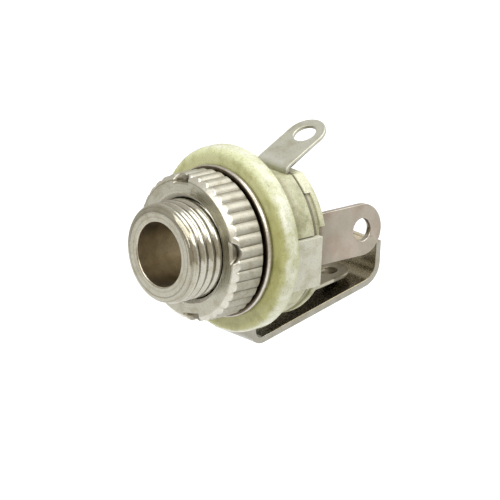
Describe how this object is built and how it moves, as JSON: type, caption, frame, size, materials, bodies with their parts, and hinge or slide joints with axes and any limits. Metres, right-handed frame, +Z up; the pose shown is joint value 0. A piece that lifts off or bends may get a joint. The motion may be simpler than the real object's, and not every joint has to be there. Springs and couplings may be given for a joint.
{
  "type": "mono jack socket",
  "caption": "Panel-mounting mono jack socket with a threaded bush, ribbed ring nut, washer, stacked insulators, bent spring contacts and solder lugs.",
  "frame": {"origin": "on the axis of the plug's bore, in the plane of the flange's front face that seats on the panel", "axes": "the plug goes in along +Y and leaves along -Y, +Z is up with the break lug on top, +X is the sleeve lug's side"},
  "size_m": [0.0186, 0.0272, 0.0214],
  "materials": {
    "nickel_plate": "nickel plated, semi-bright",
    "ivory_flange": "moulded, satin gloss",
    "ivory_disc": "moulded, matt",
    "contact_sheet": "nickel plated sheet, dull",
    "sleeve_sheet": "nickel plated sheet, dull and warm"
  },
  "bodies": {
    "socket": {"threaded_bush": "nickel_plate", "front_insulator": "ivory_flange", "tip_contact": "contact_sheet", "middle_insulator": "ivory_disc", "break_contact": "contact_sheet", "rear_insulator": "ivory_disc", "sleeve_contact": "sleeve_sheet"},
    "washer": {"panel_washer": "nickel_plate"},
    "nut": {"ring_nut": "nickel_plate"}
  },
  "joints": [
    {"name": "washer_slide", "type": "slide", "parent": "socket", "child": "washer", "axis": [0, -1, 0], "range_m": [0, 0.0055]},
    {"name": "nut_turn", "type": "hinge", "parent": "washer", "child": "nut", "pos_m": [0, 0, 0], "axis": [0, -1, 0], "range_deg": [0, 1980]}
  ],
  "couplings": [
    {"joint": "washer_slide", "follows": "nut_turn", "m_per_rad": 0.00015915}
  ]
}
